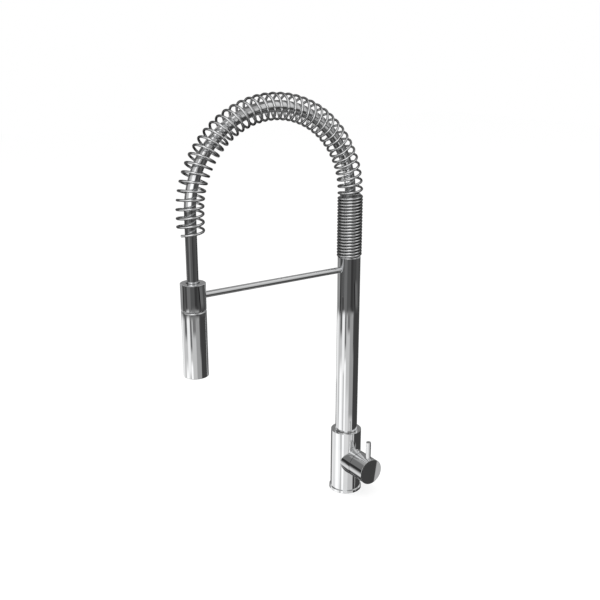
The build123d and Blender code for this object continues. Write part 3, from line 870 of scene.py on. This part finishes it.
@dataclass
class Handle:
    """The cap on the side boss with its upright lever."""

    wall: float = 2.0 * MM
    rim: float = 0.4 * MM
    end_wall: float = 3.0 * MM
    edge: float = 0.4 * MM
    rim_edge: float = 0.1 * MM
    hub_radius: float = 8.5 * MM
    hub_height: float = 14.6 * MM
    hub_edge: float = 0.3 * MM
    lever_edge: float = 0.5 * MM

    def build(self) -> None:
        """Turns the cap and the lever and dresses the parts that hold them."""
        low, high, middle = span("handle_cap")
        lever_low, lever_high, lever_middle = span("lever_pin")
        radius = high.y
        end = high.x
        floor = end - self.end_wall
        hub = low.x + self.hub_height
        profile = [
            Corner(0.0, hub),
            Corner(self.hub_radius, hub, self.hub_edge),
            Corner(self.hub_radius, floor),
            Corner(radius - self.wall, floor),
            Corner(radius - self.wall, low.x + self.wall - self.rim),
            Corner(radius - self.rim, low.x, self.rim_edge),
            Corner(radius, low.x, self.rim_edge),
            Corner(radius, end, self.edge),
            Corner(0.0, end),
        ]
        cap = turn("handle_cap_outer", profile, Vector((0, 0, middle.z)), Along.RIGHT, steps=WIDE_STEPS)
        finish_piece(cap, Look.CHROME, "lever", "handle_cap")
        lever_radius = (lever_high.x - lever_low.x) / 2
        profile = bar(lever_radius, lever_low.z, lever_high.z, self.lever_edge)
        lever = turn("lever_rod", profile, Vector((lever_middle.x, 0, 0)), steps=ROD_STEPS)
        finish_piece(lever, Look.CHROME, "lever", "lever_pin")
        dress(Look.STEEL, "cartridge_stem", "handle_set_screw")


@dataclass
class Column:
    """The upright tube on its swivel, with the head that carries the spring and the hose."""

    bore: float = 16.5 * MM
    top_edge: float = 0.3 * MM
    foot_edge: float = 0.15 * MM
    head_radius: float = 15.7 * MM
    head_bore: float = 13.2 * MM
    head_edge: float = 0.6 * MM
    outlet: float = 6.5 * MM
    outlet_height: float = 24.5 * MM
    slide_wall: float = 2.0 * MM

    def build(self) -> None:
        """Turns the tube, its head and the slide ring and dresses the swivel."""
        low, high, _ = span("column_tube")
        profile = ring(high.x, self.bore, low.z, high.z, self.top_edge, self.foot_edge)
        tube = turn("column_outer", profile, Vector(), steps=WIDE_STEPS)
        finish_piece(tube, Look.CHROME, "spout", "column_tube")
        low, high, _ = span("column_head")
        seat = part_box("column_tube")[1].z
        profile = [
            Corner(self.outlet, low.z),
            Corner(high.x, low.z),
            Corner(high.x, seat),
            Corner(self.head_radius, seat),
            Corner(self.head_radius, high.z, self.head_edge),
            Corner(self.head_bore, high.z, self.head_edge / 2),
            Corner(self.head_bore, seat + self.outlet_height),
            Corner(self.outlet, seat + self.outlet_height),
        ]
        finish_piece(turn("spring_seat", profile, Vector()), Look.CHROME, "spout", "column_head")
        low, high, _ = span("swivel_slide_ring")
        profile = ring(high.x, high.x - self.slide_wall, low.z, high.z)
        slide = turn("slide_ring", profile, Vector(), steps=RING_STEPS)
        finish_piece(slide, Look.NYLON, "body", "swivel_slide_ring")
        dress(Look.BRASS, "column_foot", "hose_nipple_upper")
        dress(Look.RUBBER, "swivel_o_rings", "hose_washer")
        dress(Look.STEEL, "hose_ferrule_upper")


@dataclass
class Arch:
    """The hose over the arch and the spring wound round it.

    rise is the height of the arch's centre and radius its radius. The spring starts at its free end, drop
    under that centre, runs open over the arch and close-wound from close_top down to close_low.
    """

    rise: float = 498.5 * MM
    radius: float = 136.0 * MM
    hose_radius: float = 8.25 * MM
    wire_radius: float = 1.8 * MM
    coil_radius: float = 17.8 * MM
    drop: float = 27.5 * MM
    open_turns: int = 40
    close_turns: float = 19.65
    close_top: float = 494.8 * MM
    close_low: float = 402.6 * MM
    start_angle: float = 30.0
    points_per_turn: int = 30
    wire_rounds: int = 5
    hose_sides: int = 48
    arc_steps: int = 120
    drop_steps: int = 36

    def wire_point(self, turns: float) -> Vector:
        """Gives the wire's centre after some turns.

        Args:
            turns: turns from the free end over the spray head.

        Returns:
            The point.
        """
        open_length = self.drop + pi * self.radius + self.rise - self.close_top
        along = turns * open_length / self.open_turns
        if turns > self.open_turns:
            close_pitch = (self.close_top - self.close_low) / self.close_turns
            along = open_length + (turns - self.open_turns) * close_pitch
        arc = min(max(along - self.drop, 0), pi * self.radius) / self.radius
        outward = Vector((0, -cos(arc), sin(arc)))
        centre = Vector((0, -self.radius, self.rise)) + outward * self.radius
        centre.z += min(along - self.drop, 0) - max(along - self.drop - pi * self.radius, 0)
        swing = radians(self.start_angle) + 2 * pi * turns
        return centre + (outward * cos(swing) + Vector((1, 0, 0)) * sin(swing)) * self.coil_radius

    def spring(self) -> bpy.types.Object:
        """Winds the spring as one wire.

        Returns:
            The spring's mesh object.
        """
        turns = self.open_turns + self.close_turns
        count = round(turns * self.points_per_turn)
        points = [self.wire_point(turns * index / count) for index in range(count + 1)]
        first = (points[0] - points[1]).normalized() * 2 * self.wire_radius
        last = (points[-1] - points[-2]).normalized() * 2 * self.wire_radius
        points = [points[0] + first, *points, points[-1] + last]
        curve = bpy.data.curves.new("spring_wire_line", "CURVE")
        curve.dimensions = "3D"
        curve.bevel_depth = self.wire_radius
        curve.bevel_resolution = self.wire_rounds
        curve.use_fill_caps = True
        spline = curve.splines.new("POLY")
        spline.points.add(len(points) - 1)
        for target, point in zip(spline.points, points):
            target.co = (*point, 1.0)
        holder = link("spring_wire_line", curve)
        bpy.context.view_layer.update()
        wound = bpy.data.meshes.new_from_object(holder.evaluated_get(bpy.context.evaluated_depsgraph_get()))
        bpy.data.objects.remove(holder)
        mesh = bmesh.new()
        mesh.from_mesh(wound)
        bpy.data.meshes.remove(wound)
        return as_object("spring_wire", mesh, sharp=50.0)

    @staticmethod
    def pull(mesh: bmesh.types.BMesh, faces: Faces, way: Vector) -> Faces:
        """Extrudes faces.

        Args:
            mesh: the mesh that they are in.
            faces: the faces.
            way: how far and where to.

        Returns:
            The new faces at the end.
        """
        grown = bmesh.ops.extrude_face_region(mesh, geom=faces)["geom"]
        corners = [item for item in grown if isinstance(item, bmesh.types.BMVert)]
        bmesh.ops.translate(mesh, vec=way, verts=corners)
        return [item for item in grown if isinstance(item, bmesh.types.BMFace)]

    def hose(self) -> bpy.types.Object:
        """Draws the hose up out of the column, over the arch and down into the spray head.

        Returns:
            The hose's mesh object.
        """
        low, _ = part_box("hose")
        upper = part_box("hose_ferrule_upper")[0].z
        mesh = bmesh.new()
        bmesh.ops.create_circle(
            mesh,
            cap_ends=True,
            radius=self.hose_radius,
            segments=self.hose_sides,
            matrix=Matrix.Translation((0, 0, upper)),
        )
        tip = self.pull(mesh, list(mesh.faces), Vector((0, 0, self.rise - upper)))
        bent = bmesh.ops.spin(
            mesh,
            geom=tip,
            cent=(0, -self.radius, self.rise),
            axis=(1, 0, 0),
            angle=pi,
            steps=self.arc_steps,
        )
        tip = [item for item in bent["geom_last"] if isinstance(item, bmesh.types.BMFace)]
        step = Vector((0, 0, (low.z - self.rise) / self.drop_steps))
        for _ in range(self.drop_steps):
            passed, tip = tip, self.pull(mesh, tip, step)
            bmesh.ops.delete(mesh, geom=passed, context="FACES_ONLY")
        return as_object("hose_tube", mesh, sharp=40.0)

    def build(self) -> None:
        """Makes the spring and the hose."""
        finish_piece(self.spring(), Look.SPRING_CHROME, "spout", "spring")
        hose = finish_piece(self.hose(), Look.HOSE, None, "hose")
        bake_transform(hose)


@dataclass
class Dock:
    """The arm from the column with the collar that the spray head docks in."""

    collar_top_edge: float = 0.8 * MM
    collar_foot_edge: float = 1.2 * MM
    collar_bore: float = 14.24 * MM
    roof: float = 388.0 * MM
    hole: float = 9.87 * MM
    hole_edge: float = 0.15 * MM
    bush_bore: float = 8.55 * MM
    bush_edge: float = 0.2 * MM
    liner_bore: float = 12.92 * MM

    def build(self) -> None:
        """Turns the arm, the collar and the rings inside it."""
        low, high, middle = span("support_arm")
        at = Vector((0, 0, middle.z))
        arm = turn("arm_rod", bar(high.x, low.y, high.y), at, Along.BACK, steps=ROD_STEPS)
        finish_piece(arm, Look.CHROME, "spout", "support_arm")
        low, high, middle = span("docking_collar")
        at = Vector((0, middle.y, 0))
        profile = [
            Corner(self.collar_bore, low.z),
            Corner(high.x, low.z, self.collar_foot_edge),
            Corner(high.x, high.z, self.collar_top_edge),
            Corner(self.hole, high.z, self.hole_edge),
            Corner(self.hole, self.roof),
            Corner(self.collar_bore, self.roof),
        ]
        collar = turn("collar_outer", profile, at, steps=WIDE_STEPS, rounds=4)
        finish_piece(collar, Look.CHROME, "spout", "docking_collar")
        low, high, _ = span("collar_bush")
        profile = ring(high.x, self.bush_bore, low.z, high.z, self.bush_edge)
        bush = turn("hose_bush", profile, at, steps=RING_STEPS)
        finish_piece(bush, Look.BLACK, "spout", "collar_bush")
        low, high, _ = span("collar_liner")
        profile = ring(high.x, self.liner_bore, low.z, high.z)
        liner = turn("dock_liner", profile, at, steps=RING_STEPS)
        finish_piece(liner, Look.BLACK, "spout", "collar_liner")
        dress(Look.MAGNET, "dock_magnet")


@dataclass
class SprayHead:
    """The pull-down head: shell, neck, waterway and the spray face under it."""

    top_edge: float = 2.3 * MM
    foot_edge: float = 0.8 * MM
    bore: float = 16.0 * MM
    neck_hole: float = 12.64 * MM
    roof: float = 4.0 * MM

    def build(self) -> None:
        """Turns the shell and dresses what is in it."""
        low, high, middle = span("spray_shell")
        at = Vector((0, middle.y, 0))
        profile = [
            Corner(self.bore, low.z),
            Corner(high.x, low.z, self.foot_edge),
            Corner(high.x, high.z, self.top_edge),
            Corner(self.neck_hole, high.z),
            Corner(self.neck_hole, high.z - self.roof),
            Corner(self.bore, high.z - self.roof),
        ]
        shell = turn("spray_body", profile, at, steps=WIDE_STEPS, rounds=4)
        finish_piece(shell, Look.CHROME, "spray_head", "spray_shell")
        finish_piece(smoothed("neck_tube", "spray_neck"), Look.BLACK, "spray_head", "spray_neck")
        finish_piece(smoothed("nozzle_plate", "spray_nozzle"), Look.BLACK, "spray_head", "spray_nozzle")
        finish_piece(smoothed("soft_jets", "spray_face"), Look.RUBBER, "spray_head", "spray_face")
        finish_piece(smoothed("aerator_cup", "aerator"), Look.NYLON, "spray_head", "aerator")
        dress(Look.STEEL, "neck_clip", "dock_plate", "hose_ferrule_lower")
        dress(Look.RUBBER, "nipple_o_ring")
        dress(Look.BRASS, "hose_nipple_lower")
        dress(Look.CARTRIDGE, "spray_core", "check_valve")


# -------- studio


class StudioCard(EffectGroup):
    """One soft-edged patch of the room as polished metal sees it, laid over what is behind it."""

    name = "studio_card"
    inputs = tuple(
        (label, "NodeSocketFloat", 1.0)
        for label in (
            *("Azimuth", "Elevation", "Behind", "Bearing", "Half Width", "Height", "Half Height"),
            *("Side Blur", "Edge Blur", "Lean", "Brightness"),
        )
    )
    outputs = (("Result", "NodeSocketFloat"),)

    def wire(self, graph: Graph, given: Sockets) -> dict[str, Value]:
        """Wires the patch's mask and lays its brightness over what is behind it.

        Args:
            graph: the group's graph.
            given: the group's inputs, by name.

        Returns:
            The brightness with the patch.
        """

        def inside(offset: Value, half: Value, blur: Value) -> bpy.types.NodeSocket:
            """Masks one direction.

            Args:
                offset: how far off the patch's middle it is, in degrees.
                half: half of the patch's width.
                blur: half of the width of its soft edge.

            Returns:
                1 inside the patch and 0 outside it.
            """
            near = graph.math("SUBTRACT", half, blur)
            far = graph.math("ADD", half, blur)
            return graph.remap(graph.math("ABSOLUTE", offset), near, far, 1.0, 0.0)

        raised = graph.math("SUBTRACT", given["Elevation"], given["Height"])
        aside = graph.math("SUBTRACT", given["Azimuth"], given["Bearing"])
        turned = graph.math("WRAP", aside, 180.0, -180.0)
        leaned = graph.math("SUBTRACT", turned, graph.math("MULTIPLY", raised, given["Lean"]))
        across = inside(leaned, given["Half Width"], given["Side Blur"])
        mask = graph.math("MULTIPLY", across, inside(raised, given["Half Height"], given["Edge Blur"]))
        step = graph.math("SUBTRACT", given["Brightness"], given["Behind"])
        return {"Result": graph.math("MULTIPLY_ADD", mask, step, given["Behind"])}


@dataclass(frozen=True)
class Card:
    """A patch of the studio: bearing and elevation ranges in degrees and how bright it is.

    The blurs are half the widths of its soft sides and of its soft upper and lower edges. lean is how far
    its bearing shifts with each degree of elevation. Later patches lie over earlier ones.
    """

    start: float
    end: float
    low: float
    high: float
    brightness: float
    side_blur: float = 2.0
    edge_blur: float = 0.6
    lean: float = 0.0


@dataclass(frozen=True)
class Lamp:
    """A soft square lamp: where it hangs, its side in metres and its power in watts."""

    name: str
    at: Place
    size: float
    power: float


# The studio's patches, in the order that they are laid.
CARDS = tuple(Card(*row) for row in (
    # The room over the horizon.
    (-181, 181, -9, 91, 0.35, 1, 1.0),
    (-70, 30, 62, 80, 0.16, 10, 4),
    (-181, -150, -6, 36, 0.47, 8, 5),
    (-147, -112, 4, 38, 0.18, 4, 3),
    (-112, -58, -8, 18, 0.36, 8, 4),
    (-68, -36, 14, 40, 0.22, 8, 5),
    (-56, -24, -9, 12, 0.16, 6, 4),
    (-24, 20, -9, 13, 0.12, 8, 4),
    (20, 48, -9, 3, 0.08, 5, 3),
    (-101, -80, 21, 46, 0.9, 4, 3),
    (-34, 8, 16, 48, 0.8, 5, 4),
    (92, 150, 64, 88, 0.95, 6, 3),
    (44, 76, 1, 28, 0.55, 5, 4),
    (24, 62, 22, 44, 0.66, 5, 5),
    (4, 52, 40, 60, 0.75, 5, 4),
    (73, 95, -11, 14, 0.06, 4, 2, 1.2),
    (102, 156, -8.5, 8, 1.1, 4, 1.5),
    (114, 156, 5, 14, 1.1, 5, 2),
    (130, 168, 13, 27, 0.95, 4, 3),
    (112, 148, 26, 66, 0.95, 5, 4),
    (-157, -131, 37, 60, 0.03, 2, 2),
    (158, 181, -9, 34, 0.55, 6, 5),
    (-146, -128, -9, 6.5, 0.03, 3, 1.2),
    # Low down, where the boss and the cap mirror it.
    (-181, -138, -46, -28, 0.37, 8, 4),
    (-140, -118, -44, -28, 0.75, 4, 3),
    (-118, -62, -60, -28, 0.06, 6, 4),
    (-62, -28, -56, -24, 0.4, 8, 4),
    (-20, 40, -66, -46, 0.14, 8, 3),
    (40, 66, -70, -31, 0.22, 5, 4),
    (66, 94, -54, -29, 0.36, 5, 4),
    (96, 160, -62, -29, 0.05, 8, 2),
    # The belt that the collar and the column's upper half mirror.
    (-181, 181, -18.2, -9, 0.1, 1, 0.4),
    (-150, -140, -18.5, -9, 0.05, 2, 0.4),
    (-140, -110, -18, -13, 0.33, 4, 2),
    (-110, -92, -18, -12, 0.19, 4, 1),
    (-92, -62, -18, -10, 0.36, 6, 1),
    (-62, -28, -18, -9, 0.32, 5, 1),
    (-28, 14, -18.5, -9, 0.065, 2, 1),
    (14, 48, -18.0, -9, 0.09, 2, 1),
    (48, 82, -18.6, -9, 0.062, 2, 0.4),
    (82, 106, -19.0, -9, 0.042, 3, 0.4),
    (106, 142, -19.0, -9, 0.098, 3, 0.4),
    (142, 181, -18.2, -9, 0.17, 3, 0.4),
    (174, 190, -18.2, -9, 0.06, 3, 0.4),
    (-149, -137, -19, -9, 0.012, 1.5, 0.6),
    (24, 54, -17.9, -15.8, 0.155, 2, 0.3, 6),
    (54, 63, -18.0, -15.8, 0.004, 1, 0.3, 6),
    # The belt that the column's lower half, the body and the spray head mirror.
    (-181, 181, -31, -18.0, 0.6, 1, 0.3),
    (92, 132, -19.2, -17.8, 0.2, 3, 0.4),
    (142, 158, -20.3, -17.9, 0.16, 2, 0.4),
    (-148, -128, -31, -25.5, 0.85, 4, 1),
    (-181, -148, -31, -21.5, 1.18, 4, 0.8),
    (-172, -148, -19.4, -17.5, 0.12, 5, 0.5),
    (-126, -102, -30.5, -17.9, 0.93, 4, 0.5),
    (-102, -62, -24.5, -15, 0.45, 5, 2),
    (-106, -84, -22.5, -18.2, 0.95, 4, 0.5),
    (-102, -62, -31, -25, 0.17, 4, 1),
    (-64, -28, -31, -15, 0.3, 5, 2),
    (62, 106, -25, -18, 0.36, 3, 0.3),
    (110, 140, -31, -23.5, 0.78, 4, 1),
    (142, 158, -31, -21.2, 1.15, 2.5, 0.4),
    (160, 186, -22, -17.9, 0.98, 3, 0.3),
    (173, 187, -31, -21, 1.0, 3, 0.5),
    # The dark right side of the upright pieces and the light part of the handle's end.
    (-28, 64, -46, -17.6, 0.055, 1.5, 0.4),
    (60, 72, -20.6, -17.6, 0.075, 1.5, 0.7),
    (60, 69, -46, -28.2, 0.055, 1.5, 0.6),
    (45, 49.66, -29.7, -26.4, 0.46, 0.06, 0.2),
))


@dataclass
class Studio:
    """Camera, lamps, floor and the room that the metal mirrors.

    Of the floor, glow and glow_share set how far it is lit up towards white where the camera sees it.
    """

    camera_at: Place = (0.998812, -0.773694, 0.716266)
    bearing: float = 55.712
    pitch: float = 17.047
    lens: float = 50.0
    sensor: float = 36.0
    floor_reach: float = 6.0
    floor_drop: float = 0.2 * MM
    floor_tone: float = 0.85
    glow: float = 1.43
    glow_share: float = 0.45
    aim: Place = (0.0, -0.136, 0.3)
    lamps: Sequence[Lamp] = (
        Lamp("key_lamp", (1.6, -1.2, 2.2), 1.8, 26.0),
        Lamp("side_lamp", (-1.8, -1.0, 1.8), 1.8, 12.0),
    )
    room: float = 0.1
    fill: float = 0.75
    cards: Sequence[Card] = CARDS

    def camera(self) -> None:
        """Places the camera where the photograph was taken from."""
        data = bpy.data.cameras.new("camera")
        data.lens = self.lens
        data.sensor_width = self.sensor
        camera = link("camera", data)
        camera.location = self.camera_at
        camera.rotation_euler = (radians(90 - self.pitch), 0, radians(self.bearing))
        bpy.context.scene.camera = camera

    def brightness(self, graph: Graph) -> Value:
        """Lays the room's patches over each other.

        Args:
            graph: the world's graph.

        Returns:
            How bright the room is in each direction.
        """
        way = graph.add("ShaderNodeTexCoord").outputs["Generated"]
        parts = graph.add("ShaderNodeSeparateXYZ", {0: way}).outputs
        azimuth = graph.math("DEGREES", graph.math("ARCTAN2", parts["X"], parts["Y"]))
        elevation = graph.math("DEGREES", graph.math("ARCSINE", parts["Z"]))
        seen: Value = self.room
        card_group = StudioCard()
        for card in self.cards:
            seen = card_group.place(
                graph,
                Azimuth=azimuth,
                Elevation=elevation,
                Behind=seen,
                Bearing=(card.start + card.end) / 2,
                Half_Width=(card.end - card.start) / 2,
                Height=(card.low + card.high) / 2,
                Half_Height=(card.high - card.low) / 2,
                Side_Blur=card.side_blur,
                Edge_Blur=card.edge_blur,
                Lean=card.lean,
                Brightness=card.brightness,
            )["Result"]
        return seen

    def world(self) -> None:
        """Wires the world: white to the camera, even fill for dull surfaces, the room for shiny ones."""
        world = bpy.data.worlds.new("studio")
        world.use_nodes = True
        bpy.context.scene.world = world
        graph = Graph(world.node_tree)
        room, fill, white = (
            graph.add("ShaderNodeBackground", {"Color": rgba((1.0, 1.0, 1.0)), "Strength": strength})
            for strength in (self.brightness(graph), self.fill, 1.0)
        )
        path = graph.add("ShaderNodeLightPath").outputs
        mirrored = graph.math("MAXIMUM", path["Is Glossy Ray"], path["Is Transmission Ray"])
        shown = graph.shader(graph.shader(fill, room, mirrored), white, path["Is Camera Ray"])
        graph.add("ShaderNodeOutputWorld", {"Surface": shown.outputs[0]})

    def floor(self) -> None:
        """Lays the pale floor, which catches a faint shadow and stays out of the metal's reflections."""
        mesh = bmesh.new()
        bmesh.ops.create_grid(mesh, x_segments=1, y_segments=1, size=self.floor_reach)
        floor = link("floor", as_mesh("floor", mesh))
        floor.location.z = -self.floor_drop
        floor.visible_glossy = False
        floor.visible_transmission = False
        material = bpy.data.materials.new("pale_floor")
        material.use_nodes = True
        graph = Graph(material.node_tree)
        dull = graph.add("ShaderNodeBsdfDiffuse", {"Color": rgba((self.floor_tone,) * 3)})
        glow = graph.add("ShaderNodeEmission", {"Strength": self.glow})
        seen = graph.add("ShaderNodeLightPath").outputs["Is Camera Ray"]
        mixed = graph.shader(dull, glow, graph.math("MULTIPLY", seen, self.glow_share))
        graph.add("ShaderNodeOutputMaterial", {"Surface": mixed.outputs[0]})
        floor.data.materials.append(material)

    def hang(self, lamp: Lamp) -> None:
        """Hangs one lamp that looks at the mixer.

        Args:
            lamp: the lamp.
        """
        data = bpy.data.lights.new(lamp.name, "AREA")
        data.size = lamp.size
        data.energy = lamp.power
        hung = link(lamp.name, data)
        hung.location = lamp.at
        way = Vector(self.aim) - Vector(lamp.at)
        hung.rotation_euler = way.to_track_quat("-Z", "Y").to_euler()
        hung.visible_glossy = False
        hung.visible_camera = False

    def build(self) -> None:
        """Sets up the whole studio."""
        self.camera()
        self.world()
        self.floor()
        for lamp in self.lamps:
            self.hang(lamp)
        bpy.context.scene.view_settings.view_transform = "Standard"


def main() -> None:
    """Builds the studio and the mixer's sub-assemblies in order."""
    logging.basicConfig(level=logging.INFO, format="%(name)s: %(message)s")
    Studio().build()
    for part in (Base(), Body(), Handle(), Column(), Arch(), Dock(), SprayHead()):
        log.info("building %s", type(part).__name__)
        part.build()
    bpy.context.view_layer.update()


if __name__ == "__main__":
    main()
